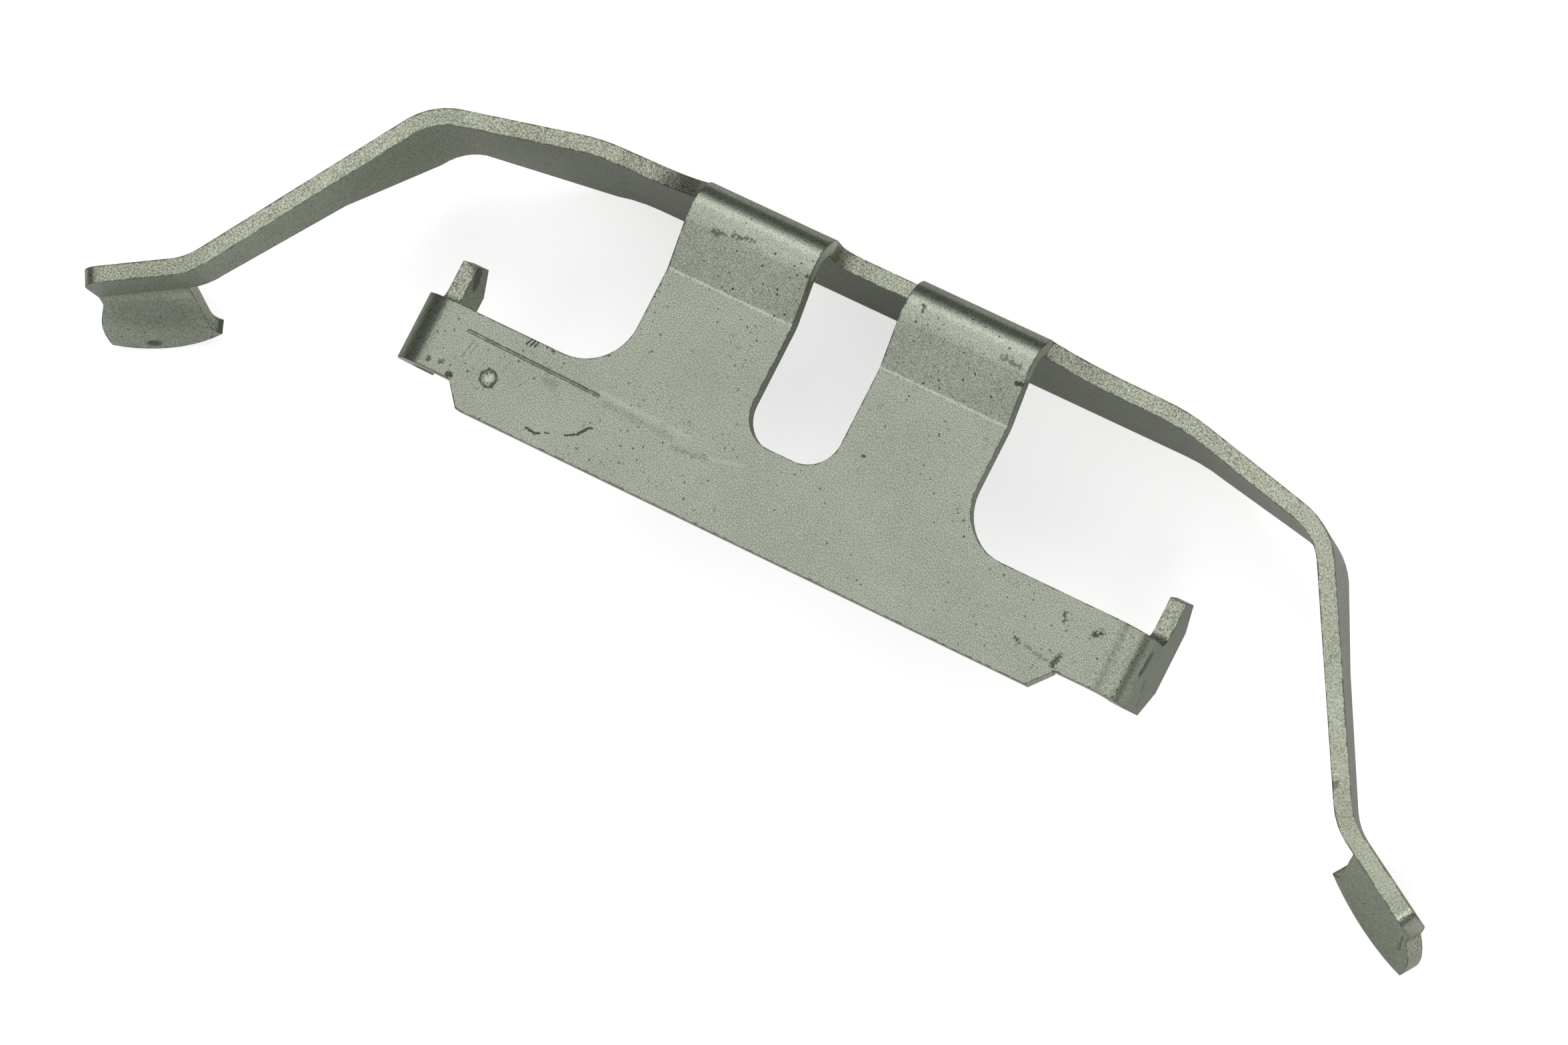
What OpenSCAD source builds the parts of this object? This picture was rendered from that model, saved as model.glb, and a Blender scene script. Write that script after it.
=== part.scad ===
// Brake pad retaining clip: one piece of spring steel sheet, blanked and folded.
// A flat plate lies face up. Two legs rise from it, lean forward at a crease and fold
// back over the top, where they carry a long bow. The bow stands on edge behind the
// plate, bends down past both of its ends and finishes in two lobed feet. Each end of
// the plate folds back into a flange with an upright finger.
// The clip is drawn round its plate: X along the plate, Y up the legs and Z out of the
// plate's front face, and then laid down as it rests, on the bow's rear edge and feet.

/* [Sheet] */
// Thickness of the sheet
sheet = 2; // [1.5:0.1:2.4]

/* [Plate] */
// Half the length of the straight lower edge
plate_half = 36.5; // [32:0.5:38]
// Width of the cut corner at each end of the lower edge
corner_x = 2.1; // [1:0.1:3]
// Height of the cut corner
corner_y = 2.5; // [1.5:0.1:2.5]
// Height of the plate beside the legs
plate_height = 10.9; // [9:0.1:12]
// Height of the end tabs' lower edge above the plate's lower edge
tab_rise = 2.7; // [2.6:0.1:4]

/* [Legs] */
// Half the width of the slot between the legs
slot_half = 5.6; // [4.5:0.1:7]
// Distance from the middle to the outer side of a leg
leg_out = 21.7; // [18:0.1:23]
// Height of the slot's floor
slot_floor = 11.1; // [8:0.1:14]
// Radius in the slot's two lower corners
slot_radius = 4; // [2:0.1:4.4]
// Radius where a leg meets the plate's upper edge
root_radius = 6.3; // [3:0.1:8]
// Height at which the crease starts
crease_start = 24.2; // [20:0.1:28]
// Forward lean of the leg above the crease
crease_angle = 23.986; // [10:0.001:30]
// Radius of the crease on the front face
crease_radius = 1.5; // [1:0.5:5]
// Straight part of the leg between the crease and the top fold
leg_upper = 6; // [3:0.1:9]
// Inside radius of the top fold
top_radius = 1.8; // [1.2:0.1:3]

/* [Bow] */
// Depth of the bow's front edge behind the plate's front face
bow_front = 5.8; // [4.8:0.1:8]
// Depth of the bow's rear edge behind the plate's front face
bow_back = 27.5; // [22:0.5:32]
// How far the hollow curve from a leg's outer side reaches along the bow's front edge
neck_reach = 10; // [6:0.5:11]
// How far past the top fold that curve starts
neck_start = 0.3; // [0.2:0.1:1]
// Radius between a leg's slot side and the bow's front edge
slot_neck_radius = 2.4; // [1:0.1:3]
// Distance from the middle to the shoulder, along the top
shoulder_at = 37.8; // [36:0.1:42]
// Bend at the shoulder
shoulder_angle = 13.558; // [8:0.001:20]
// Inside radius of the shoulder
shoulder_radius = 23; // [12:1:30]
// Depth of the front edge at the shoulder
shoulder_front = 6.2; // [4.8:0.1:8]
// Length from the shoulder to the elbow
shoulder_run = 20.8; // [18:0.1:26]
// Bend at the elbow
elbow_angle = 45.517; // [35:0.001:50]
// Inside radius of the elbow
elbow_radius = 7; // [4:0.5:9]
// Depth of the front edge at the elbow
elbow_front = 5.2; // [3:0.1:7]
// Depth of the rear edge at the elbow
elbow_back = 18.6; // [15:0.1:22]
// Length of the arm from the elbow to the ankle
arm_run = 33; // [28:0.5:38]
// Part of the arm over which it tapers fast
arm_taper = 0.42; // [0.2:0.02:0.7]
// Depth of the rear edge where the fast taper ends
arm_back = 12.4; // [11:0.1:15]
// Depth of the front edge at the ankle
ankle_front = 2.9; // [1:0.1:5]
// Depth of the rear edge at the ankle, where the lobe's bend starts
ankle_back = 9.2; // [8:0.1:10.5]
// Outward bend at the ankle
ankle_angle = 28.736; // [15:0.001:35]
// Inside radius of the ankle
ankle_radius = 7; // [4:0.5:10]

/* [Feet] */
// Length of the foot's straight strip
foot_length = 11; // [8:0.1:14]
// Radius on the foot's front corner
foot_round = 2; // [0.8:0.1:2.5]
// Inward bend of the lobe
lobe_angle = 21.013; // [10:0.001:35]
// Inside radius of the lobe's bend
lobe_radius = 3; // [1:0.5:5]
// Depth of the lobe below its bend
lobe_drop = 10.7; // [9:0.1:13]
// Radius of the lobe's lower edge
lobe_sweep = 14; // [12:0.5:20]
// Length of the lobe's end that runs on straight from the strip's end
notch_at = 1.6; // [1:0.1:2]
// How far the lobe's toe reaches past the strip
toe_reach = 1.7; // [1:0.1:2.5]
// Depth at which the toe reaches furthest
toe_at = 7; // [6:0.1:8]
// Radius of the toe's end edge
toe_sweep = 10; // [8:0.5:12]
// How far the lobe's heel reaches back past the strip
heel_reach = 1.1; // [0.5:0.1:2]
// Depth at which the hollow above the heel starts
heel_at = 7; // [5:0.1:7.2]
// Radius of the hollow above the heel
heel_hollow = 2.3; // [2:0.1:4]

/* [End flanges] */
// Distance from the middle to the outer face of an end flange
flange_out = 46.8; // [44:0.1:50]
// Inside radius of the flange's fold
flange_radius = 2.5; // [1.5:0.1:3]
// Depth of the flange's rear edge behind the plate's front face
flange_back = 15; // [12:0.1:18]
// Depth of the finger's front edge
finger_front = 8.6; // [7.6:0.1:9.5]
// Height of the finger's tip above the plate's lower edge
finger_top = 17; // [14:0.1:20]
// Drop of the finger's tip towards its front edge
tip_slope = 0.6; // [0:0.1:1]
// Size of the corner cut from the finger's rear upper edge
tip_cut = 2.9; // [1:0.1:3.4]
// Radius at the foot of the finger
finger_root = 2; // [0.8:0.1:2.5]
// Size of the corner cut from the flange's rear lower edge
flange_cut = 3.4; // [1:0.1:4]
// How much the flange's lower edge rises towards that corner
flange_rise = 0.5; // [0:0.1:1.5]

/* [Marks] */
// Distance from the middle to the outer end of the pressed line
line_end = 39.4; // [36:0.1:40]
// Length of the pressed line
line_length = 17.4; // [8:0.1:30]
// Height of the pressed line's outer end above the lower edge
line_height = 8.6; // [6:0.1:9.5]
// Slope of the pressed line towards the lower edge
line_slope = 1; // [0:0.5:5]
// Width of the pressed line
line_width = 0.3; // [0.2:0.05:0.9]
// Distance from the middle to the round punch mark
punch_at = 34.6; // [30:0.1:36]
// Height of the round punch mark above the lower edge
punch_height = 4.7; // [2:0.1:6]
// Diameter of the round punch mark
punch_size = 2; // [1:0.1:3]
// Depth of the round punch mark
punch_depth = 0.1; // [0.05:0.05:0.4]

/* [Hidden] */
$fn = 96;
steel = [0.62, 0.65, 0.59];
// Outside radius of the top fold, and the angle it turns through
top_outer = top_radius + sheet;
top_angle = 90 + crease_angle;
// Depth at which the top fold ends, rounded to a micrometre, and the bow's edges as
// depths from there
micrometre = 0.001;
top_end = micrometre * round((top_outer * cos(crease_angle) - leg_upper * sin(crease_angle)
    - crease_radius * (1 - cos(crease_angle))) / micrometre);
neck = bow_front - top_end;
shoulder_near = shoulder_front - top_end;
back_edge = bow_back - top_end;
elbow_near = elbow_front - top_end;
elbow_deep = elbow_back - top_end;
arm_deep = arm_back - top_end;
ankle_near = ankle_front - top_end;
ankle_deep = ankle_back - top_end;
leg_width = leg_out - slot_half;
// Share of a fold's angle that each of its two arcs covers
arc_share = 0.6;
// Straight lengths of the bow between its bends
shoulder_trim = (shoulder_radius + sheet) * tan(shoulder_angle / 2);
elbow_trim = (elbow_radius + sheet) * tan(elbow_angle / 2);
ankle_trim = ankle_radius * tan(ankle_angle / 2);
top_flat = shoulder_at - shoulder_trim;
shoulder_flat = shoulder_run - shoulder_trim - elbow_trim;
arm_flat = arm_run - elbow_trim - ankle_trim;
// Plate to flange fold
flange_outer = flange_radius + sheet;
tab_end = flange_out - flange_outer;
flange_run = flange_back - flange_outer;
// Turn, rise and shift that lay the clip down on the bow's rear edge and the feet
rest_tilt = 9.667;
rest_height = 21.569;
rest_centre = 16.784;

// A flat part of the sheet: its outer face is at Y = 0 and its outline is given in X and Z
module flat_part(outline) {
    rotate([90, 0, 0])
        linear_extrude(sheet)
            polygon(outline);
}

// A fold towards -Y that starts at X = 0 and spans from z0 to z1. It is drawn as two
// arcs about one axis, from its start and back from its end, which overlap in the middle.
module fold_down(angle, radius, z0, z1) {
    translate([0, 0, z0]) {
        mirror([1, 0, 0])
            arc_down(arc_share * angle, radius, z1 - z0);
        past_fold_down(angle, radius)
            arc_down(arc_share * angle, radius, z1 - z0);
    }
}

// An arc of the sheet about an axis below it, from X = 0 towards -X
module arc_down(angle, radius, span) {
    translate([0, -sheet - radius, 0])
        rotate([0, 0, 90])
            rotate_extrude(angle = angle)
                translate([radius, 0])
                    square([sheet, span]);
}

// What follows a fold towards -Y
module past_fold_down(angle, radius) {
    translate([0, -sheet - radius, 0])
        rotate([0, 0, -angle])
            translate([0, sheet + radius, 0])
                children();
}

// A fold towards +Y that starts at X = 0 and spans from z0 to z1, drawn like fold_down
module fold_up(angle, radius, z0, z1) {
    translate([0, 0, z0]) {
        arc_up(arc_share * angle, radius, z1 - z0);
        past_fold_up(angle, radius)
            mirror([1, 0, 0])
                arc_up(arc_share * angle, radius, z1 - z0);
    }
}

// An arc of the sheet about an axis above it, from X = 0 towards +X
module arc_up(angle, radius, span) {
    translate([0, radius, 0])
        rotate([0, 0, -90])
            rotate_extrude(angle = angle)
                translate([radius, 0])
                    square([sheet, span]);
}

// What follows a fold towards +Y
module past_fold_up(angle, radius) {
    translate([0, radius, 0])
        rotate([0, 0, angle])
            translate([0, -radius, 0])
                children();
}

// The sharp inner corner between two edges, rounded: a square less a quarter circle
module corner_fillet(radius) {
    difference() {
        square(radius);
        translate([radius, radius])
            circle(radius);
    }
}

// Front outline of the plate with the legs up to the crease
module plate_outline() {
    tab_width = plate_height - tab_rise;
    polygon([
        [-plate_half, 0], [plate_half, 0],
        [plate_half + corner_x, corner_y], [plate_half + corner_x, plate_height],
        [-plate_half - corner_x, plate_height], [-plate_half - corner_x, corner_y]
    ]);
    translate([-tab_end, tab_rise])
        square([2 * tab_end, tab_width]);
    difference() {
        translate([-leg_out, plate_height / 2])
            square([2 * leg_out, crease_start - plate_height / 2]);
        slot_outline();
    }
    for (side = [0, 1])
        mirror([side, 0])
            translate([leg_out, plate_height])
                corner_fillet(root_radius);
}

// The slot between the legs, open at the top
module slot_outline() {
    straight = slot_half - slot_radius;
    translate([-slot_half, slot_floor + slot_radius])
        square([2 * slot_half, crease_start]);
    translate([-straight, slot_floor])
        square([2 * straight, 2 * slot_radius]);
    for (side = [-1, 1])
        translate([side * straight, slot_floor + slot_radius])
            circle(slot_radius);
}

// Pressed line and round punch mark in the plate's front face
module plate_marks() {
    translate([-line_end, line_height, 0])
        rotate([0, 90, -line_slope])
            cylinder(h = line_length, d = line_width);
    translate([-punch_at, punch_height, -punch_depth])
        cylinder(h = sheet, d = punch_size);
}

// The flat plate, its front face at Z = 0
module plate() {
    difference() {
        translate([0, 0, -sheet])
            linear_extrude(sheet)
                plate_outline();
        plate_marks();
    }
}

// Draws its children on the right and, mirrored, on the left
module both_sides() {
    children();
    mirror([1, 0, 0])
        children();
}

// Both legs from the crease over the top fold, and the bow that they carry. Along a leg
// X runs up it, Y out of its front face and Z along the plate.
module legs_and_bow() {
    translate([0, crease_start, 0])
        rotate([90, 0, 90]) {
            both_legs()
                fold_up(crease_angle, crease_radius, slot_half, leg_out);
            past_fold_up(crease_angle, crease_radius) {
                both_legs()
                    flat_part([
                        [0, slot_half], [leg_upper, slot_half],
                        [leg_upper, leg_out], [0, leg_out]
                    ]);
                translate([leg_upper, 0, 0]) {
                    both_legs()
                        fold_down(top_angle, top_radius, slot_half, leg_out);
                    past_fold_down(top_angle, top_radius)
                        rotate([0, -90, 0])
                            bow();
                }
            }
        }
}

// Draws a leg's part twice, once for each leg
module both_legs() {
    children();
    mirror([0, 0, 1])
        children();
}

// The bow with its necks. X runs along the plate, Y out of the bow's upper face, and Z
// is 0 where the top folds end and points to the front.
module bow() {
    bow_middle();
    both_sides() {
        neck_part();
        bow_side();
    }
}

// The flat neck between a leg's top fold and the bow. A long hollow curve leads from its
// outer side to the bow's front edge, and a small one from its slot side.
module neck_part() {
    rise = neck - neck_start;
    curve = (neck_reach * neck_reach + rise * rise) / (2 * rise);
    rotate([90, 0, 0])
        linear_extrude(sheet) {
            translate([slot_half, -neck])
                square([leg_width, neck]);
            difference() {
                translate([leg_out, -neck])
                    square([neck_reach, neck]);
                translate([leg_out + neck_reach, curve - neck])
                    circle(curve);
            }
            translate([slot_half, -neck])
                mirror([1, 0])
                    corner_fillet(slot_neck_radius);
        }
}

// The flat middle of the bow, between the two shoulders
module bow_middle() {
    level = leg_out + neck_reach;
    flat_part([
        [-top_flat, -back_edge], [top_flat, -back_edge],
        [top_flat, -shoulder_near], [level, -neck],
        [-level, -neck], [-top_flat, -shoulder_near]
    ]);
}

// The right half of the bow outside its middle: shoulder, elbow, arm, ankle and foot
module bow_side() {
    translate([top_flat, 0, 0]) {
        fold_down(shoulder_angle, shoulder_radius, -back_edge, -shoulder_near);
        past_fold_down(shoulder_angle, shoulder_radius) {
            flat_part([
                [0, -back_edge], [shoulder_flat, -elbow_deep],
                [shoulder_flat, -elbow_near], [0, -shoulder_near]
            ]);
            translate([shoulder_flat, 0, 0]) {
                fold_down(elbow_angle, elbow_radius, -elbow_deep, -elbow_near);
                past_fold_down(elbow_angle, elbow_radius)
                    arm();
            }
        }
    }
}

// The long arm below the elbow, narrower towards the ankle
module arm() {
    flat_part([
        [0, -elbow_deep], [arm_flat * arm_taper, -arm_deep], [arm_flat, -ankle_deep],
        [arm_flat, -ankle_near], [0, -elbow_near]
    ]);
    translate([arm_flat, 0, 0]) {
        fold_up(ankle_angle, ankle_radius, -ankle_deep, -ankle_near);
        past_fold_up(ankle_angle, ankle_radius)
            foot();
    }
}

// The foot: a straight strip with a lobe bent inward from its rear edge
module foot() {
    rotate([90, 0, 0])
        linear_extrude(sheet)
            foot_outline();
    translate([0, 0, -ankle_deep])
        rotate([0, 90, 0]) {
            fold_down(lobe_angle, lobe_radius, 0, foot_length);
            past_fold_down(lobe_angle, lobe_radius)
                rotate([90, 0, 0])
                    linear_extrude(sheet)
                        lobe_outline();
        }
}

// Outline of the foot's strip, X along it and Y towards the front
module foot_outline() {
    translate([0, -ankle_deep])
        square([foot_length, ankle_deep - ankle_near - foot_round]);
    translate([0, -ankle_near - foot_round])
        square([foot_length - foot_round, foot_round]);
    translate([foot_length - foot_round, -ankle_near - foot_round])
        circle(foot_round);
}

// Outline of the lobe, X down from its bend and Y along the foot. Its lower edge and its
// toe's end are arcs that meet in a corner, and its heel has a hollow above it.
module lobe_outline() {
    toe = foot_length + toe_reach;
    square([notch_at, foot_length]);
    intersection() {
        translate([lobe_drop - lobe_sweep, (toe - heel_reach) / 2])
            circle(lobe_sweep);
        translate([toe_at, toe - toe_sweep])
            circle(toe_sweep);
        difference() {
            translate([0, -heel_reach])
                square([lobe_drop, toe + heel_reach]);
            translate([0, -heel_reach])
                square([heel_at, heel_reach]);
            translate([heel_at, -heel_hollow])
                circle(heel_hollow);
        }
    }
}

// The right end flange with its finger
module end_flange() {
    translate([tab_end, 0, 0])
        rotate([90, 0, 0]) {
            fold_down(90, flange_radius, -plate_height, -tab_rise);
            past_fold_down(90, flange_radius)
                rotate([90, 0, 0])
                    linear_extrude(sheet)
                        flange_outline();
        }
}

// Outline of the flange, X back from its fold and Y towards the plate's lower edge
module flange_outline() {
    finger = finger_front - flange_outer;
    lower = tab_rise + flange_rise;
    polygon([
        [0, -tab_rise], [0, -plate_height], [finger, -plate_height],
        [finger, -finger_top + tip_slope], [flange_run - tip_cut, -finger_top],
        [flange_run, -finger_top + tip_cut], [flange_run, -lower - flange_cut],
        [flange_run - flange_cut, -lower]
    ]);
    translate([finger, -plate_height])
        mirror([1, 0])
            mirror([0, 1])
                corner_fillet(finger_root);
}

// The whole clip round its plate
module folded_clip() {
    union() {
        plate();
        legs_and_bow();
        both_sides()
            end_flange();
    }
}

module clip() {
    color(steel)
        translate([0, -rest_centre, rest_height])
            rotate([rest_tilt, 0, 0])
                folded_clip();
}

clip();
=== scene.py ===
import math

import bpy
from mathutils import Matrix, Vector
from mathutils.bvhtree import BVHTree

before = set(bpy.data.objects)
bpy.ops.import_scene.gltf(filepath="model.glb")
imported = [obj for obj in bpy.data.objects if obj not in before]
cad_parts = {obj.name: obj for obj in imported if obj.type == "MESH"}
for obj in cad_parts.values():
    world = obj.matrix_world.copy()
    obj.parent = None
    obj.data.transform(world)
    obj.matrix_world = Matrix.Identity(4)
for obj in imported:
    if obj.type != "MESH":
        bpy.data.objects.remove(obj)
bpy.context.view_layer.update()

# The clip lies on its bow's rear edge and its feet. Its plate is turned by REST_TILT about
# X from level, with the plate's lower edge PLATE_HEIGHT up and PLATE_BACK behind the origin.
# On the plate, places are in millimetres: X along it, Y up the legs and Z out of its face.
REST_TILT = math.radians(9.667)
PLATE_HEIGHT = 0.021569
PLATE_BACK = 0.016784
SHEET = 0.002
MILLIMETRE = 0.001

# The camera, worked out from the clip's own straight edges
CAMERA_PLACE = Vector((0.17792, -0.16479, 0.61404))
CAMERA_AIM = Vector((0.00319, -0.01173, 0.020))
CAMERA_UP = Vector((-0.41750, 0.84270, 0.33993))
CAMERA_LENS = 131.89

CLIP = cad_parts["clip"]


# Shader helpers

def add_node(tree, kind, **settings):
    """Adds a node; settings are its properties, or with a leading in_ its inputs."""
    node = tree.nodes.new(kind)
    for name, value in settings.items():
        if name.startswith("in_"):
            node.inputs[name[3:].replace("_", " ")].default_value = value
        else:
            setattr(node, name, value)
    return node


def math_node(tree, operation, first, second=None, third=None, clamp=False):
    """A Math node; each value is a number or an output socket."""
    node = add_node(tree, "ShaderNodeMath", operation=operation, use_clamp=clamp)
    for slot, value in zip(node.inputs, (first, second, third)):
        put(tree, slot, value)
    return node.outputs[0]


def vector_node(tree, operation, first, second=None, output="Vector"):
    """A Vector Math node; each value is a vector or an output socket."""
    node = add_node(tree, "ShaderNodeVectorMath", operation=operation)
    for slot, value in zip(node.inputs, (first, second)):
        put(tree, slot, value)
    return node.outputs[output]


def put(tree, slot, value):
    """Links an output socket to an input, or sets the input's own value."""
    if isinstance(value, bpy.types.NodeSocket):
        tree.links.new(value, slot)
    elif value is not None:
        slot.default_value = value


def map_range(tree, value, low, high, out_low=0.0, out_high=1.0, smooth=True):
    """Turns low..high into out_low..out_high, softly at both ends unless smooth is off."""
    node = add_node(tree, "ShaderNodeMapRange")
    node.interpolation_type = "SMOOTHSTEP" if smooth else "LINEAR"
    for name, setting in (
        ("Value", value), ("From Min", low), ("From Max", high),
        ("To Min", out_low), ("To Max", out_high),
    ):
        put(tree, node.inputs[name], setting)
    return node.outputs["Result"]


# A Mix node's sockets for colours, which share their names with those for numbers
MIX_SHARE, MIX_FIRST, MIX_SECOND, MIX_RESULT = 0, 6, 7, 2


def mix_colour(tree, share, first, second):
    """The first colour where share is 0 and the second where it is 1."""
    node = add_node(tree, "ShaderNodeMix", data_type="RGBA", blend_type="MIX")
    for index, value in ((MIX_SHARE, share), (MIX_FIRST, first), (MIX_SECOND, second)):
        put(tree, node.inputs[index], value)
    return node.outputs[MIX_RESULT]


def noise(tree, place, scale, detail=2.0, roughness=0.5):
    """Noise from 0 to 1, about 0.5; scale is in lumps for each unit of place."""
    node = add_node(
        tree, "ShaderNodeTexNoise", in_Scale=scale, in_Detail=detail, in_Roughness=roughness
    )
    put(tree, node.inputs["Vector"], place)
    return node.outputs["Fac"]


def new_group(name, inputs, outputs):
    """A shader node group with named sockets; returns its tree, input and output nodes."""
    tree = bpy.data.node_groups.new(name, "ShaderNodeTree")
    for socket, kind, value in inputs:
        made = tree.interface.new_socket(socket, in_out="INPUT", socket_type=kind)
        if value is not None:
            made.default_value = value
    for socket, kind in outputs:
        tree.interface.new_socket(socket, in_out="OUTPUT", socket_type=kind)
    return tree, tree.nodes.new("NodeGroupInput"), tree.nodes.new("NodeGroupOutput")


def use_group(tree, group, **values):
    """Places a group; values are numbers or sockets by input name, spaces as underscores."""
    node = add_node(tree, "ShaderNodeGroup", node_tree=group)
    for name, value in values.items():
        put(tree, node.inputs[name.replace("_", " ")], value)
    return node


NUMBER = "NodeSocketFloat"
VECTOR = "NodeSocketVector"


# Effects that the finishes share

def coat_grain_group():
    """The coating's grain: a fine height for bump, and light and dark flecks about 0."""
    tree, given, out = new_group(
        "coat grain",
        [("Place", VECTOR, None), ("Grain Size", NUMBER, 0.3), ("Contrast", NUMBER, 1.0)],
        [("Height", NUMBER), ("Tone", NUMBER)],
    )
    fineness = math_node(tree, "DIVIDE", 1.0, given.outputs["Grain Size"])
    scaled = vector_node(tree, "SCALE", given.outputs["Place"])
    put(tree, scaled.node.inputs["Scale"], fineness)
    bumps = noise(tree, scaled, scale=1.0, detail=3.0, roughness=0.65)
    ripple = noise(tree, scaled, scale=0.4)
    height = math_node(tree, "MULTIPLY_ADD", ripple, 0.5, bumps)
    fleck = noise(tree, scaled, scale=1.3, detail=3.0, roughness=0.75)
    tone = math_node(tree, "SUBTRACT", fleck, 0.5)
    tone = math_node(tree, "MULTIPLY", tone, given.outputs["Contrast"])
    tree.links.new(height, out.inputs["Height"])
    tree.links.new(tone, out.inputs["Tone"])
    return tree


def cloud_group():
    """Soft cloudy patches, some millimetres across, as a tone about 0."""
    tree, given, out = new_group(
        "coat clouds", [("Place", VECTOR, None), ("Depth", NUMBER, 1.0)], [("Tone", NUMBER)]
    )
    large = noise(tree, given.outputs["Place"], scale=0.09, detail=3.0, roughness=0.55)
    small = noise(tree, given.outputs["Place"], scale=0.55, detail=3.0, roughness=0.6)
    tone = math_node(tree, "MULTIPLY_ADD", small, 0.5, large)
    tone = math_node(tree, "SUBTRACT", tone, 0.75)
    tone = math_node(tree, "MULTIPLY", tone, given.outputs["Depth"])
    tree.links.new(tone, out.inputs["Tone"])
    return tree


def pit_group():
    """Small dark pits and specks, scattered more thickly in some places."""
    tree, given, out = new_group(
        "pits",
        [("Place", VECTOR, None), ("Spacing", NUMBER, 2.4), ("Size", NUMBER, 0.12)],
        [("Mask", NUMBER)],
    )
    place = given.outputs["Place"]
    cells = add_node(tree, "ShaderNodeTexVoronoi", feature="F1")
    put(tree, cells.inputs["Vector"], place)
    put(tree, cells.inputs["Scale"], math_node(tree, "DIVIDE", 1.0, given.outputs["Spacing"]))
    pick = add_node(tree, "ShaderNodeSeparateColor")
    tree.links.new(cells.outputs["Color"], pick.inputs["Color"])
    gap = math_node(tree, "MULTIPLY", cells.outputs["Distance"], given.outputs["Spacing"])
    shake = math_node(tree, "SUBTRACT", noise(tree, place, scale=4.0), 0.5)
    gap = math_node(tree, "MULTIPLY_ADD", shake, 0.25, gap)
    size = math_node(tree, "MULTIPLY", given.outputs["Size"], map_range(
        tree, pick.outputs["Red"], 0.2, 1.0, 0.3, 1.0))
    mask = map_range(tree, math_node(tree, "SUBTRACT", gap, size), 0.0, 0.08, 1.0, 0.0)
    patch = map_range(tree, noise(tree, place, scale=0.11), 0.38, 0.56)
    mask = math_node(tree, "MULTIPLY", mask, patch)
    tree.links.new(mask, out.inputs["Mask"])
    return tree


def hairline_group():
    """Fine curled scratches in a few patches."""
    tree, given, out = new_group(
        "hairlines", [("Place", VECTOR, None), ("Width", NUMBER, 0.02)], [("Mask", NUMBER)]
    )
    place = given.outputs["Place"]
    swirl = noise(tree, place, scale=0.45, roughness=0.55)
    gap = math_node(tree, "ABSOLUTE", math_node(tree, "SUBTRACT", swirl, 0.5))
    line = map_range(tree, gap, 0.0, given.outputs["Width"], 1.0, 0.0)
    broken = map_range(tree, noise(tree, place, scale=2.2), 0.46, 0.56)
    patch = map_range(tree, noise(tree, place, scale=0.17, detail=1.0), 0.5, 0.62)
    mask = math_node(tree, "MULTIPLY", line, math_node(tree, "MULTIPLY", broken, patch))
    tree.links.new(mask, out.inputs["Mask"])
    return tree


def stroke_group():
    """A pressed, scratched or stained stroke between two points, in millimetres."""
    tree, given, out = new_group(
        "stroke",
        [
            ("Place", VECTOR, None), ("From", VECTOR, None), ("To", VECTOR, None),
            ("Half Width", NUMBER, 0.2), ("Ragged", NUMBER, 0.1), ("Strength", NUMBER, 1.0),
        ],
        [("Mask", NUMBER)],
    )
    place, start, end = (given.outputs[name] for name in ("Place", "From", "To"))
    shake = noise(tree, place, scale=2.8, detail=3.0, roughness=0.65)
    shake = math_node(tree, "SUBTRACT", shake, 0.5)
    along = vector_node(tree, "SUBTRACT", end, start)
    here = vector_node(tree, "SUBTRACT", place, start)
    length = vector_node(tree, "DOT_PRODUCT", along, along, "Value")
    covered = vector_node(tree, "DOT_PRODUCT", here, along, "Value")
    share = math_node(tree, "DIVIDE", covered, length, clamp=True)
    reached = vector_node(tree, "SCALE", along)
    put(tree, reached.node.inputs["Scale"], share)
    gap = vector_node(tree, "SUBTRACT", here, reached)
    gap = vector_node(tree, "LENGTH", gap, output="Value")
    gap = math_node(tree, "MULTIPLY_ADD", shake, given.outputs["Ragged"], gap)
    edge = math_node(tree, "MULTIPLY", given.outputs["Half Width"], 0.4)
    mask = map_range(tree, gap, edge, given.outputs["Half Width"], 1.0, 0.0)
    mask = math_node(tree, "MULTIPLY", mask, given.outputs["Strength"])
    tree.links.new(mask, out.inputs["Mask"])
    return tree


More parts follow.
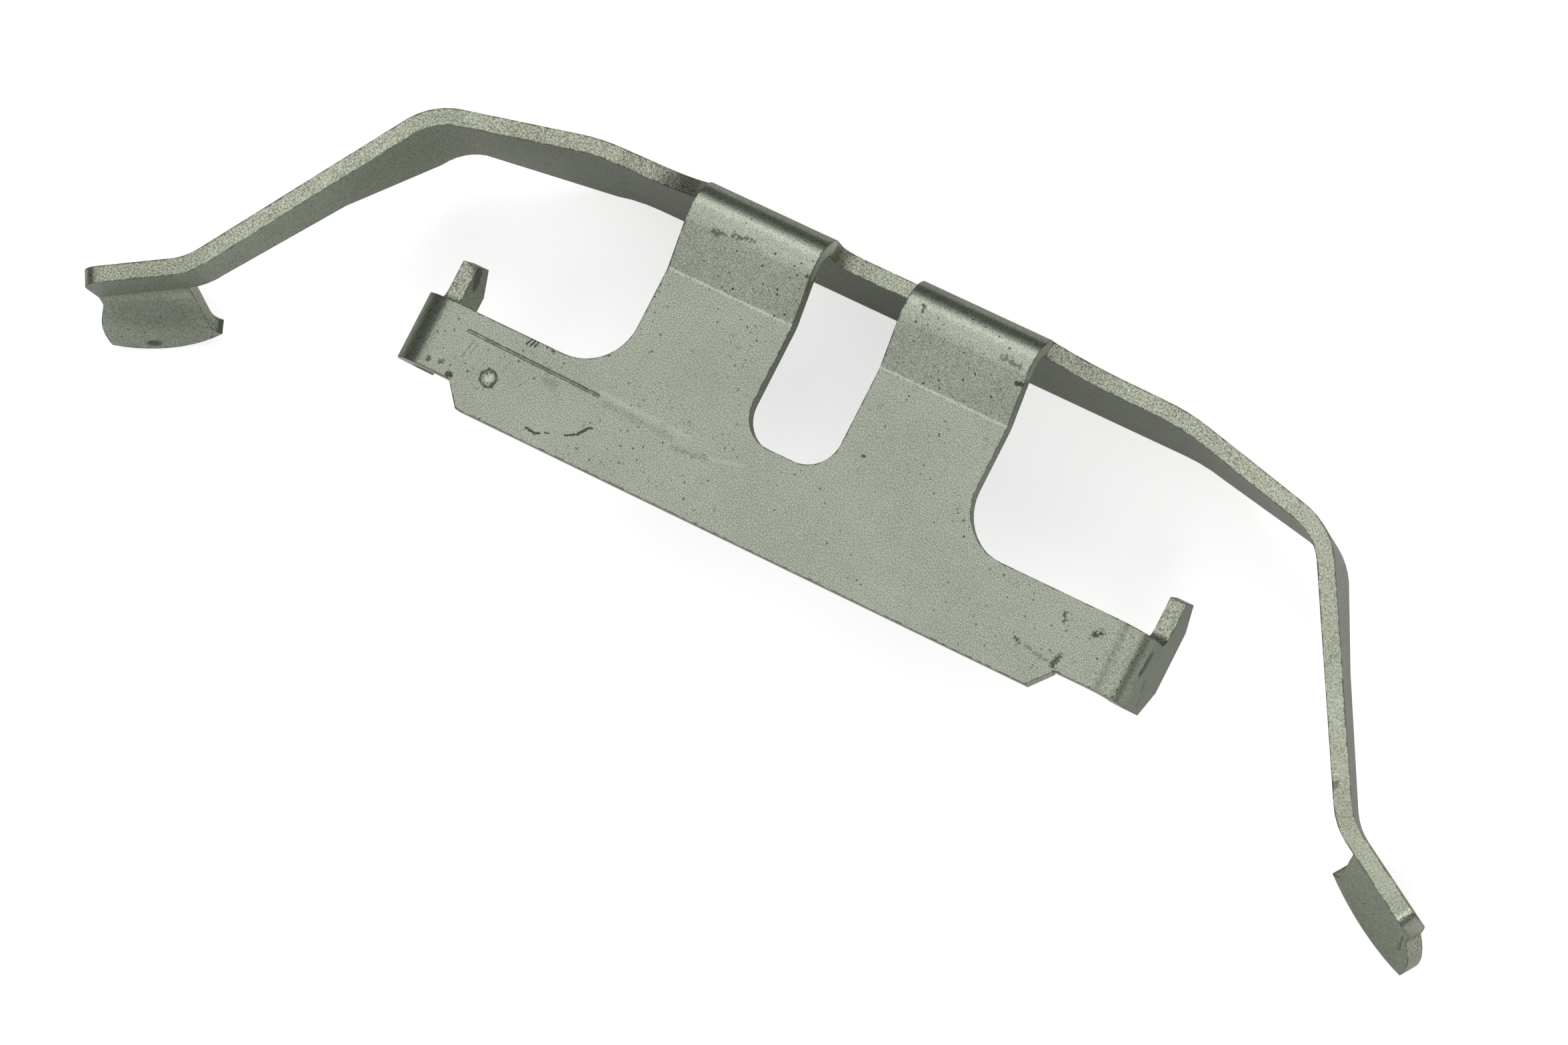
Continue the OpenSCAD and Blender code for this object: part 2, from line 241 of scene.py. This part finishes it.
def ring_group():
    """A ragged ring about a centre, in millimetres, with a lumpy, burred inside."""
    tree, given, out = new_group(
        "ragged ring",
        [
            ("Place", VECTOR, None), ("Centre", VECTOR, None),
            ("Radius", NUMBER, 1.0), ("Half Width", NUMBER, 0.2), ("Ragged", NUMBER, 0.2),
        ],
        [("Ring", NUMBER), ("Burr", NUMBER)],
    )
    place = given.outputs["Place"]
    away = vector_node(tree, "SUBTRACT", place, given.outputs["Centre"])
    away = vector_node(tree, "LENGTH", away, output="Value")
    lumps = noise(tree, place, scale=1.7, detail=3.0, roughness=0.65)
    shake = math_node(tree, "SUBTRACT", lumps, 0.5)
    shake = math_node(tree, "MULTIPLY", shake, given.outputs["Ragged"])
    away = math_node(tree, "ADD", away, shake)
    gap = math_node(tree, "SUBTRACT", away, given.outputs["Radius"])
    gap = math_node(tree, "ABSOLUTE", gap)
    ring = map_range(tree, gap, 0.0, given.outputs["Half Width"], 1.0, 0.0)
    inner = math_node(tree, "SUBTRACT", given.outputs["Radius"], given.outputs["Half Width"])
    inside = map_range(tree, math_node(tree, "SUBTRACT", away, inner), -0.1, 0.1, 1.0, 0.0)
    burr = math_node(tree, "MULTIPLY", inside, map_range(tree, lumps, 0.5, 0.57))
    hollow = math_node(tree, "MULTIPLY", inside, map_range(tree, lumps, 0.44, 0.38))
    ring = math_node(tree, "MAXIMUM", ring, hollow)
    tree.links.new(ring, out.inputs["Ring"])
    tree.links.new(burr, out.inputs["Burr"])
    return tree


def edge_group():
    """Rounded normals at the sheet's edges, and a broken line that follows them, which the
    finishes use as painted shade along the edges.
    """
    tree, given, out = new_group(
        "sheet edges",
        [("Place", VECTOR, None), ("Width", NUMBER, 0.0002)],
        [("Normal", VECTOR), ("Line", NUMBER)],
    )
    rounded = add_node(tree, "ShaderNodeBevel", samples=6)
    shake = noise(tree, given.outputs["Place"], scale=0.9, detail=3.0, roughness=0.65)
    reach = math_node(tree, "MULTIPLY", given.outputs["Width"], map_range(
        tree, shake, 0.35, 0.7, 0.25, 1.6))
    tree.links.new(reach, rounded.inputs["Radius"])
    flat = add_node(tree, "ShaderNodeNewGeometry")
    facing = vector_node(
        tree, "DOT_PRODUCT", rounded.outputs["Normal"], flat.outputs["True Normal"], "Value"
    )
    line = map_range(tree, facing, 0.998, 0.94)
    tree.links.new(rounded.outputs["Normal"], out.inputs["Normal"])
    tree.links.new(line, out.inputs["Line"])
    return tree


GRAIN = coat_grain_group()
CLOUDS = cloud_group()
PITS = pit_group()
HAIRLINES = hairline_group()
STROKE = stroke_group()
RING = ring_group()
EDGES = edge_group()


# Places on the clip

def plate_place(tree):
    """Where a point is on the plate, in millimetres."""
    coordinates = add_node(tree, "ShaderNodeTexCoord")
    mapping = add_node(tree, "ShaderNodeMapping", vector_type="TEXTURE")
    mapping.inputs["Location"].default_value = (0, -PLATE_BACK, PLATE_HEIGHT)
    mapping.inputs["Rotation"].default_value = (REST_TILT, 0, 0)
    mapping.inputs["Scale"].default_value = (MILLIMETRE, MILLIMETRE, MILLIMETRE)
    tree.links.new(coordinates.outputs["Object"], mapping.inputs["Vector"])
    return mapping.outputs["Vector"]


PUNCH_MARK = (-34.6, 4.7, 0)

# Strokes and stains in plate millimetres: from, to, half width, raggedness and strength.
# The pressed line and the gouges are cut into the plate's face; the pressed line's dark stroke
# is painted shade in its groove
PRESSED_LINE_SHADE = (
    ((-39.3, 8.58, 0), (-31.5, 8.44, 0), 0.16, 0.4, 0.3),
    ((-31.5, 8.44, 0), (-22.1, 8.3, 0), 0.16, 0.25, 0.75),
)
GOUGES = (
    ((-27.95, 1.55, 0), (-26.7, 1.35, 0), 0.21, 0.4, 1.0),
    ((-26.7, 1.35, 0), (-26.2, 1.65, 0), 0.18, 0.4, 1.0),
    ((-25.7, 1.95, 0), (-25.3, 2.05, 0), 0.14, 0.2, 0.9),
    ((-23.4, 2.7, 0), (-22.2, 3.35, 0), 0.19, 0.5, 1.0),
    ((-22.2, 3.35, 0), (-21.4, 4.5, 0), 0.24, 0.5, 1.0),
    ((-21.4, 4.5, 0), (-21.0, 4.65, 0), 0.18, 0.3, 1.0),
    ((8.45, 14.97, 0), (8.6, 15.0, 0), 0.26, 0.2, 0.9),
)
# Dark marks along the bay beside the left leg, and on the plate's ends
EDGE_NICKS = (
    ((-32.4, 10.1, 0), (-32.1, 10.8, 0), 0.17, 0.2, 1.0),
    ((-31.9, 10.1, 0), (-31.6, 10.9, 0), 0.17, 0.2, 1.0),
    ((-31.4, 10.2, 0), (-31.2, 10.9, 0), 0.15, 0.2, 1.0),
    ((-29.3, 10.6, 0), (-29.1, 10.6, 0), 0.22, 0.2, 0.9),
    ((-24.2, 12.8, 0), (-23.1, 13.6, 0), 0.25, 0.5, 0.8),
    ((-22.8, 14.1, 0), (-22.4, 14.6, 0), 0.2, 0.4, 0.8),
)
PLATE_STAINS = (
    ((-39.1, 3.1, 0), (-38.8, 3.2, 0), 0.5, 0.9, 1.0),
    ((-42.2, 3.7, 0), (-42.0, 3.8, 0), 0.42, 0.9, 0.8),
    ((-40.6, 4.0, 0), (-40.4, 4.2, 0), 0.4, 1.0, 0.7),
    ((-37.2, 4.4, 0), (-37.1, 4.4, 0), 0.18, 0.2, 0.8),
    ((41.0, 8.2, 0), (41.5, 8.6, 0), 0.45, 2.4, 1.0),
    ((33.2, 4.2, 0), (33.8, 3.9, 0), 0.22, 1.2, 0.8),
    ((34.6, 3.9, 0), (37.4, 3.4, 0), 0.25, 2.0, 0.4),
    ((38.3, 3.2, 0), (38.5, 4.3, 0), 0.42, 1.8, 0.9),
    ((36.9, 8.9, 0), (37.3, 8.2, 0), 0.3, 2.0, 0.8),
)
# Dark marks on the top folds, the cut edges, the feet and the flanges; the broad one on the
# left foot's lobe is a painted shadow, and the one on the left flange's inner face is painted
# shade in its hollow
FOLD_STAINS_AND_SHADE = (
    ((-17.9, 30.2, 2.5), (-16.8, 30.4, 2.6), 0.34, 2.2, 0.75),
    ((-15.6, 30.8, 2.75), (-13.3, 31.1, 2.85), 0.24, 1.9, 0.75),
    ((18.4, 31.3, 2.85), (20.4, 31.0, 2.8), 0.36, 2.4, 0.65),
    ((20.9, 29.3, 2.1), (21.6, 29.4, 2.2), 0.42, 0.6, 1.0),
    ((-6.0, 30.2, 2.3), (-5.6, 30.3, 2.3), 0.4, 0.9, 1.0),
    ((7.7, 32.7, 2.8), (7.9, 32.0, 2.88), 0.25, 1.2, 0.8),
    ((-33.8, 33.6, -19.8), (-33.4, 33.6, -19.7), 0.55, 0.6, 0.7),
    ((-37.2, 33.6, -18.4), (-36.7, 33.6, -17.7), 0.6, 0.8, 0.7),
    ((-27.9, 33.6, -8.4), (-27.5, 33.6, -8.3), 0.45, 0.6, 0.7),
    ((23.0, 33.6, -9.5), (29.5, 33.6, -13.0), 0.35, 2.0, 0.6),
    ((-80.5, -7.1, -19.1), (-79.6, -7.1, -19.1), 0.8, 0.7, 0.9),
    # Painted shadow over the left foot's lobe
    ((-83.0, -4.3, -13.5), (-75.5, -4.3, -13.5), 4.5, 5.0, 0.33),
    ((84.1, -5.9, -11.4), (83.8, -7.2, -14.6), 0.3, 0.5, 0.6),
    ((46.76, 9.0, -4.2), (46.76, 8.0, -4.1), 0.95, 0.4, 1.0),
    ((46.76, 8.0, -4.1), (46.7, 6.9, -3.7), 0.65, 0.4, 1.0),
    ((46.8, 6.3, -7.2), (46.8, 5.7, -7.8), 0.8, 0.8, 0.8),
    ((46.8, 4.4, -8.9), (46.8, 4.1, -9.1), 0.6, 0.8, 0.7),
    # Painted shade in the hollow on the left flange's inner face
    ((-44.8, 16.0, -9.4), (-44.8, 14.8, -10.5), 1.4, 1.6, 1.0),
    ((71.5, 5.4, -3.1), (71.4, 4.4, -3.0), 0.34, 0.8, 0.7),
)
# Bright edges round the top folds' ends
EDGE_RUBS = (
    ((-5.6, 30.9, 1.7), (-5.6, 33.0, 1.75), 1.2, 0.8, 0.9),
    ((-5.6, 33.0, 1.75), (-5.6, 34.7, -0.4), 1.2, 0.8, 0.9),
    ((21.7, 30.9, 1.7), (21.7, 33.0, 1.75), 1.2, 0.8, 0.9),
    ((21.7, 33.0, 1.75), (21.7, 34.7, -0.4), 1.2, 0.8, 0.9),
)
# Faint dark scratches and faint pale rubs on the plate's face
FAINT_RUBS = (
    ((-38.1, 7.9, 0), (-38.6, 5.6, 0), 0.14, 0.5, 0.4),
    ((-37.5, 7.8, 0), (-37.9, 6.1, 0), 0.1, 0.4, 0.35),
    ((-33.4, 6.1, 0), (-33.1, 7.6, 0), 0.1, 0.4, 0.35),
    ((-20.9, 7.8, 0), (-12.1, 7.5, 0), 0.4, 1.6, 0.16),
    ((-11.7, 6.6, 0), (-7.4, 7.1, 0), 0.3, 2.4, 0.3),
    ((-28.4, 7.4, 0), (-27.2, 7.2, 0), 0.7, 2.4, 0.2),
)
PALE_RUBS = (
    ((-22.0, 8.75, 0), (-10.5, 8.5, 0), 0.4, 1.4, 0.2),
    ((-7.3, 7.3, 0), (-3.2, 8.2, 0), 0.3, 1.6, 0.2),
)
# Painted highlights: the creases' pale lines, and the paler top of each fold
FOLD_HIGHLIGHTS = (
    ((-21.6, 24.75, 0.08), (-5.8, 24.7, 0.08), 0.2, 0.8, 0.55),
    ((5.8, 24.75, 0.08), (21.6, 24.7, 0.08), 0.2, 0.8, 0.55),
    ((-21.7, 32.2, 2.87), (-5.6, 32.2, 2.87), 1.9, 2.2, 0.15),
    ((5.6, 32.2, 2.87), (21.7, 32.2, 2.87), 1.9, 2.2, 0.15),
)


# The coat on the broad faces: its colours, and how much a mark hides it
COAT_DARK = (0.22, 0.245, 0.195, 1)
COAT_PALE = (0.52, 0.565, 0.465, 1)
# The pale colour of the plate's rubs and of the folds' painted highlights
COAT_RUBBED_AND_HIGHLIGHT = (0.66, 0.70, 0.62, 1)
COAT_BURRED = (0.56, 0.6, 0.52, 1)
# Black for stains, and for the painted shade along the edges, in the pressed line and on the
# left foot and flange
COAT_STAIN_AND_SHADE = (0.035, 0.038, 0.028, 1)
COAT_AT_GRAZING = (0.58, 0.58, 0.56, 1)
COAT_STAIN_AND_SHADE_COVER = 0.88
HAIRLINE_COVER = 0.5
PIT_COVER = 0.8
# How much the painted shade along the sheet's edges darkens the coat
COAT_EDGE_SHADE_COVER = 0.9
# Its roughness, from the grain's hollows to its tops
GRAIN_HOLLOW, GRAIN_TOP = 0.5, 1.0
COAT_GLOSSIEST = 0.24
COAT_DULLEST = 0.36
# Its bump, in metres, and how deep a cut mark lies in the grain's height
COAT_BUMP = 0.000007
GROOVE_DROP = -2.0
# How metallic the clip is where it is clean, and under its black stains and painted shade
CLEAN_METAL = 0.92
STAIN_AND_SHADE_METAL = 0.3
# The cut edges, with the same kinds of values
CUT_DARK = (0.18, 0.195, 0.145, 1)
CUT_PALE = (0.61, 0.645, 0.52, 1)
# Black for stains on the cut edges, and for the painted shade on the left foot and flange
CUT_STAIN_AND_SHADE = (0.04, 0.042, 0.03, 1)
CUT_WORN = (0.88, 0.9, 0.84, 1)
# The colour of the painted shade along the cut faces' edges
CUT_EDGE_SHADE = (0.12, 0.105, 0.055, 1)
CUT_AT_GRAZING = (0.85, 0.85, 0.82, 1)
CUT_STAIN_AND_SHADE_COVER = 0.85
# How much the painted shade along the cut faces' edges covers them
CUT_EDGE_SHADE_COVER = 0.95
CUT_ROUGHNESS = 0.3
CUT_CONTRAST = 4.4
CUT_BUMP = 0.00006
# The right arm's cut edge is torn less coarsely, from the one X to the other in millimetres
ARM_START = 45
ARM_SMOOTH = 66
ARM_COARSENESS = 0.65
# How far the sheet's edges are rounded, and how wide the painted shade along them is, in
# metres
EDGE_WIDTH = 0.0003


def marks(tree, place, strokes):
    """The strongest of a list of strokes at each point."""
    mask = None
    for start, end, half_width, ragged, strength in strokes:
        stroke = use_group(
            tree, STROKE, Place=place, From=start, To=end,
            Half_Width=half_width, Ragged=ragged, Strength=strength,
        ).outputs["Mask"]
        mask = stroke if mask is None else math_node(tree, "MAXIMUM", mask, stroke)
    return mask


def new_material(name):
    """A material with its node tree and its Principled shader."""
    material = bpy.data.materials.new(name)
    material.use_nodes = True
    return material, material.node_tree, material.node_tree.nodes["Principled BSDF"]


def coat_tone(tree, grain, clouds):
    """The share from a finish's dark colour to its pale one, 0.5 on average."""
    tone = math_node(tree, "ADD", clouds.outputs["Tone"], 0.5)
    return math_node(tree, "ADD", grain.outputs["Tone"], tone, clamp=True)


def bump_finish(tree, shader, height, edges, depth):
    """Gives the shader the edges' rounded normals, with a height as bump over them."""
    bump = add_node(tree, "ShaderNodeBump", in_Strength=1.0, in_Distance=depth)
    tree.links.new(height, bump.inputs["Height"])
    tree.links.new(edges.outputs["Normal"], bump.inputs["Normal"])
    tree.links.new(bump.outputs["Normal"], shader.inputs["Normal"])


def coated_sheet(name, cut_marks, stains_and_shade, faint_rubs, rubs_and_highlights):
    """The sheet's broad faces: a satin grey coat with fine grain, pits, rubs and stains, with
    painted shade along the edges, in the pressed line and in some of the stains, and painted
    highlights among the rubs.
    The face with faint_rubs also has the punch mark."""
    material, tree, shader = new_material(name)
    place = plate_place(tree)
    grain = use_group(tree, GRAIN, Place=place, Grain_Size=0.18, Contrast=6.5)
    clouds = use_group(tree, CLOUDS, Place=place, Depth=0.5)
    pits = use_group(tree, PITS, Place=place, Spacing=0.85, Size=0.1).outputs["Mask"]
    hairs = use_group(tree, HAIRLINES, Place=place, Width=0.012).outputs["Mask"]
    edges = use_group(tree, EDGES, Place=place, Width=EDGE_WIDTH)

    colour = mix_colour(tree, coat_tone(tree, grain, clouds), COAT_DARK, COAT_PALE)
    # Pale rubs on the plate; on the folds, painted highlights
    colour = mix_colour(tree, marks(tree, place, rubs_and_highlights), colour, COAT_RUBBED_AND_HIGHLIGHT)
    faint = math_node(tree, "MULTIPLY", hairs, HAIRLINE_COVER)
    if faint_rubs:
        punch = use_group(
            tree, RING, Place=place, Centre=PUNCH_MARK, Radius=0.9, Half_Width=0.28, Ragged=1.9
        )
        colour = mix_colour(tree, punch.outputs["Burr"], colour, COAT_BURRED)
        faint = math_node(tree, "MAXIMUM", faint, marks(tree, place, faint_rubs))
        faint = math_node(tree, "MAXIMUM", faint, punch.outputs["Ring"])
    # Cut marks darken the coat; in the pressed line this is painted shade in its groove
    cuts = marks(tree, place, cut_marks) if cut_marks else pits
    dark = marks(tree, place, stains_and_shade)
    dark = math_node(tree, "MAXIMUM", dark, cuts)
    dark = math_node(tree, "MAXIMUM", dark, math_node(tree, "MULTIPLY", pits, PIT_COVER))
    dark = math_node(tree, "MAXIMUM", dark, faint)
    # Painted shade along the sheet's edges
    edge_shade = math_node(tree, "MULTIPLY", edges.outputs["Line"], COAT_EDGE_SHADE_COVER)
    dark = math_node(tree, "MAXIMUM", dark, edge_shade)
    # Stains and painted shade both darken the coat towards black
    cover = math_node(tree, "MULTIPLY", dark, COAT_STAIN_AND_SHADE_COVER)
    colour = mix_colour(tree, cover, colour, COAT_STAIN_AND_SHADE)
    tree.links.new(colour, shader.inputs["Base Color"])
    metal = map_range(tree, dark, 0.0, 1.0, CLEAN_METAL, STAIN_AND_SHADE_METAL, smooth=False)
    tree.links.new(metal, shader.inputs["Metallic"])
    rough = map_range(
        tree, grain.outputs["Height"], GRAIN_HOLLOW, GRAIN_TOP, COAT_GLOSSIEST, COAT_DULLEST
    )
    tree.links.new(rough, shader.inputs["Roughness"])
    shader.inputs["Specular Tint"].default_value = COAT_AT_GRAZING
    height = math_node(tree, "MULTIPLY_ADD", cuts, GROOVE_DROP, grain.outputs["Height"])
    bump_finish(tree, shader, height, edges, COAT_BUMP)
    return material


def sheared_edge():
    """The cut edges: the same coat over a coarse, torn surface that glints, with painted shade
    along their edges.
    """
    material, tree, shader = new_material("sheared_edge")
    place = plate_place(tree)
    parts = add_node(tree, "ShaderNodeSeparateXYZ")
    tree.links.new(place, parts.inputs["Vector"])
    coarseness = map_range(
        tree, parts.outputs["X"], ARM_START, ARM_SMOOTH, 1.0, ARM_COARSENESS
    )
    grain = use_group(
        tree, GRAIN, Place=place, Grain_Size=0.27,
        Contrast=math_node(tree, "MULTIPLY", coarseness, CUT_CONTRAST),
    )
    clouds = use_group(tree, CLOUDS, Place=place, Depth=0.6)
    edges = use_group(tree, EDGES, Place=place, Width=EDGE_WIDTH)

    colour = mix_colour(tree, coat_tone(tree, grain, clouds), CUT_DARK, CUT_PALE)
    stains_and_shade = math_node(tree, "MULTIPLY", marks(tree, place, FOLD_STAINS_AND_SHADE), CUT_STAIN_AND_SHADE_COVER)
    colour = mix_colour(tree, stains_and_shade, colour, CUT_STAIN_AND_SHADE)
    colour = mix_colour(tree, marks(tree, place, EDGE_RUBS), colour, CUT_WORN)
    # Painted shade along the cut faces' edges
    edge_shade = math_node(tree, "MULTIPLY", edges.outputs["Line"], CUT_EDGE_SHADE_COVER)
    colour = mix_colour(tree, edge_shade, colour, CUT_EDGE_SHADE)
    tree.links.new(colour, shader.inputs["Base Color"])
    shader.inputs["Metallic"].default_value = CLEAN_METAL
    shader.inputs["Roughness"].default_value = CUT_ROUGHNESS
    shader.inputs["Specular Tint"].default_value = CUT_AT_GRAZING
    height = math_node(tree, "MULTIPLY", grain.outputs["Height"], coarseness)
    bump_finish(tree, shader, height, edges, CUT_BUMP)
    return material


# The clip

# Shares of the sheet's thickness: how far inside a face its ray starts, how long the ray is
# in a face that isn't cut, and how far the marks' floors may lie below the plate's face
RAY_START = 0.01
THROUGH_SHEET = 1.15
MARK_DEPTH = 0.1
# How closely a face's normal follows the plate's
SAME_WAY = 0.999
# The clip's material slots
ON_FOLDS, ON_PLATE, ON_CUTS = range(3)


def cut_faces(mesh):
    """The faces with more than the sheet's thickness behind them, which are its cut edges."""
    tree = BVHTree.FromPolygons(
        [vertex.co for vertex in mesh.vertices],
        [tuple(face.vertices) for face in mesh.polygons],
    )
    found = []
    for face in mesh.polygons:
        inside = face.center - face.normal * SHEET * RAY_START
        spot, _, _, distance = tree.ray_cast(inside, -face.normal)
        if spot is None or distance > SHEET * THROUGH_SHEET:
            found.append(face)
    return found


def plate_faces(mesh):
    """The faces that lie in the plate's front, below the crease."""
    normal = Vector((0, -math.sin(REST_TILT), math.cos(REST_TILT)))
    start = Vector((0, -PLATE_BACK, PLATE_HEIGHT))
    return [
        face for face in mesh.polygons
        if face.normal.dot(normal) > SAME_WAY
        and abs((face.center - start).dot(normal)) < SHEET * MARK_DEPTH
    ]


def finish_clip():
    """Gives each face of the clip its finish, in the order of the material slots."""
    mesh = CLIP.data
    mesh.materials.clear()
    mesh.materials.append(coated_sheet("coated_folds", (), FOLD_STAINS_AND_SHADE, (), FOLD_HIGHLIGHTS))
    mesh.materials.append(coated_sheet(
        "coated_plate", PRESSED_LINE_SHADE + GOUGES, EDGE_NICKS + PLATE_STAINS, FAINT_RUBS, PALE_RUBS
    ))
    mesh.materials.append(sheared_edge())
    for face in mesh.polygons:
        face.material_index = ON_FOLDS
    for face in plate_faces(mesh):
        face.material_index = ON_PLATE
    for face in cut_faces(mesh):
        face.material_index = ON_CUTS


# The studio

WHITE = (1, 1, 1, 1)
FLOOR_SIZE = 0.40
FLOOR_PAPER = (0.82, 0.82, 0.82, 1)
# What the floor's glow adds for the camera, and the share of it that metal mirrors
FLOOR_GLOW = 0.6
MIRRORED_GLOW = 0.12
# The room's light on the clip, and what metal mirrors of it on top; the camera sees white
DIM_ROOM = 0.06
MIRRORED_ROOM = 0.03


def mirrored_ray(tree, path):
    """1 for a ray that metal or glass sends on."""
    return math_node(
        tree, "MAXIMUM", path.outputs["Is Glossy Ray"], path.outputs["Is Transmission Ray"]
    )


def studio_floor():
    """A pale card that glows white to the camera and dimly in the metal, and keeps shadows."""
    bpy.ops.mesh.primitive_plane_add(size=FLOOR_SIZE, location=(0, 0, 0))
    floor = bpy.context.object
    floor.name = "studio_floor"
    material = bpy.data.materials.new("studio_floor")
    material.use_nodes = True
    tree = material.node_tree
    tree.nodes.clear()
    paper = add_node(tree, "ShaderNodeBsdfDiffuse", in_Color=FLOOR_PAPER)
    glow = add_node(tree, "ShaderNodeEmission", in_Color=WHITE)
    lit = add_node(tree, "ShaderNodeAddShader")
    path = add_node(tree, "ShaderNodeLightPath")
    mirrored = mirrored_ray(tree, path)
    seen = math_node(tree, "MAXIMUM", path.outputs["Is Camera Ray"], mirrored)
    share = math_node(
        tree, "MULTIPLY_ADD", path.outputs["Is Camera Ray"], 1 - MIRRORED_GLOW, MIRRORED_GLOW
    )
    tree.links.new(math_node(tree, "MULTIPLY", share, FLOOR_GLOW), glow.inputs["Strength"])
    choice = add_node(tree, "ShaderNodeMixShader")
    output = add_node(tree, "ShaderNodeOutputMaterial")
    tree.links.new(paper.outputs[0], lit.inputs[0])
    tree.links.new(glow.outputs[0], lit.inputs[1])
    tree.links.new(seen, choice.inputs[0])
    tree.links.new(paper.outputs[0], choice.inputs[1])
    tree.links.new(lit.outputs[0], choice.inputs[2])
    tree.links.new(choice.outputs[0], output.inputs["Surface"])
    floor.data.materials.append(material)


def softbox(name, place, size, brightness, flat=False):
    """A rectangular lamp that faces the clip, or straight down where flat, and whose face is
    as bright as brightness in a reflection."""
    lamp = bpy.data.lights.new(name, "AREA")
    lamp.shape = "RECTANGLE"
    lamp.size, lamp.size_y = size
    lamp.energy = brightness * math.pi * size[0] * size[1]
    holder = bpy.data.objects.new(name, lamp)
    holder.location = place
    if not flat:
        holder.rotation_euler = (-Vector(place)).to_track_quat("-Z", "Y").to_euler()
    holder.visible_camera = False
    bpy.context.scene.collection.objects.link(holder)


def studio_light():
    """Four softboxes, and a room that is white to the camera and dim on the clip."""
    softbox(
        "overhead_softbox", place=(-0.20, -0.25, 0.80), size=(1.08, 1.9), brightness=0.91,
        flat=True,
    )
    softbox("rear_softbox", place=(-0.22, 0.58, 0.78), size=(0.8, 0.6), brightness=0.5)
    softbox("front_softbox", place=(0.50, -0.62, 0.75), size=(0.36, 0.36), brightness=5.0)
    softbox("side_softbox", place=(0.78, 0.02, 0.52), size=(0.6, 0.9), brightness=0.95)
    world = bpy.data.worlds.new("studio")
    world.use_nodes = True
    tree = world.node_tree
    path = add_node(tree, "ShaderNodeLightPath")
    mirrored = mirrored_ray(tree, path)
    strength = math_node(tree, "MULTIPLY_ADD", mirrored, MIRRORED_ROOM, DIM_ROOM)
    strength = math_node(tree, "MAXIMUM", strength, path.outputs["Is Camera Ray"])
    background = tree.nodes["Background"]
    background.inputs["Color"].default_value = WHITE
    tree.links.new(strength, background.inputs["Strength"])
    bpy.context.scene.world = world


def studio_camera():
    """The camera at the photograph's angle."""
    camera = bpy.data.cameras.new("camera")
    camera.sensor_width = 36.0
    camera.sensor_fit = "HORIZONTAL"
    camera.lens = CAMERA_LENS
    camera.clip_start = 0.01
    camera.clip_end = 20.0
    holder = bpy.data.objects.new("camera", camera)
    back = (CAMERA_PLACE - CAMERA_AIM).normalized()
    across = CAMERA_UP.cross(back).normalized()
    holder.matrix_world = Matrix.Translation(CAMERA_PLACE) @ Matrix(
        (across, back.cross(across), back)
    ).transposed().to_4x4()
    bpy.context.scene.collection.objects.link(holder)
    bpy.context.scene.camera = holder


finish_clip()
studio_floor()
studio_light()
studio_camera()
bpy.context.scene.view_settings.view_transform = "Standard"
